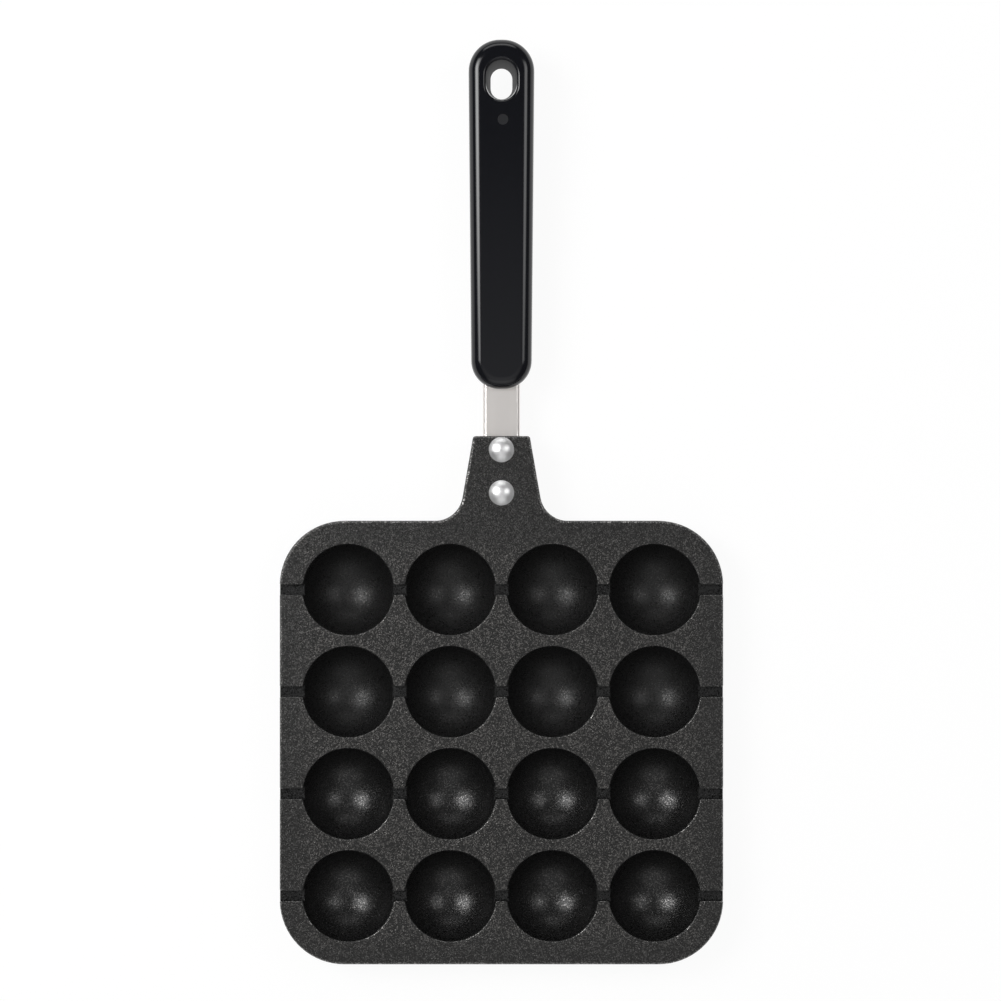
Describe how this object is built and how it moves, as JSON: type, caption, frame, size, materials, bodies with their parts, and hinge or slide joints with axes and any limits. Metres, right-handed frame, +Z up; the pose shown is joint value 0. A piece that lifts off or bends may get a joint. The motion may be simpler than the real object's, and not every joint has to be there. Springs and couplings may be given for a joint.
{
  "type": "takoyaki pan",
  "caption": "Square cast griddle pan with round cups in a grid, a pick groove along each row, and a riveted bracket with a black grip and hanging hole.",
  "frame": {"origin": "on the plane of the cup flats that the pan stands on, midway along its whole length and on its plane of symmetry", "axes": "+Z up out of the cups, +Y along the handle away from the plate, +X to the right seen from above with the handle pointing up the page"},
  "size_m": [0.1826, 0.3798, 0.0279],
  "materials": {
    "plate_coating": "matt dark non-stick coating over cast aluminium",
    "bracket_steel": "satin pressed stainless sheet",
    "rivet_metal": "bright satin aluminium",
    "grip_phenolic": "glossy black phenolic moulding",
    "screw_steel": "bright zinc-plated steel"
  },
  "bodies": {
    "root": {"cooking_plate": "plate_coating", "handle_bracket": "bracket_steel", "outer_neck_rivet": "rivet_metal", "inner_neck_rivet": "rivet_metal", "handle_grip": "grip_phenolic", "grip_screw": "screw_steel", "lock_washer": "screw_steel"}
  },
  "joints": []
}
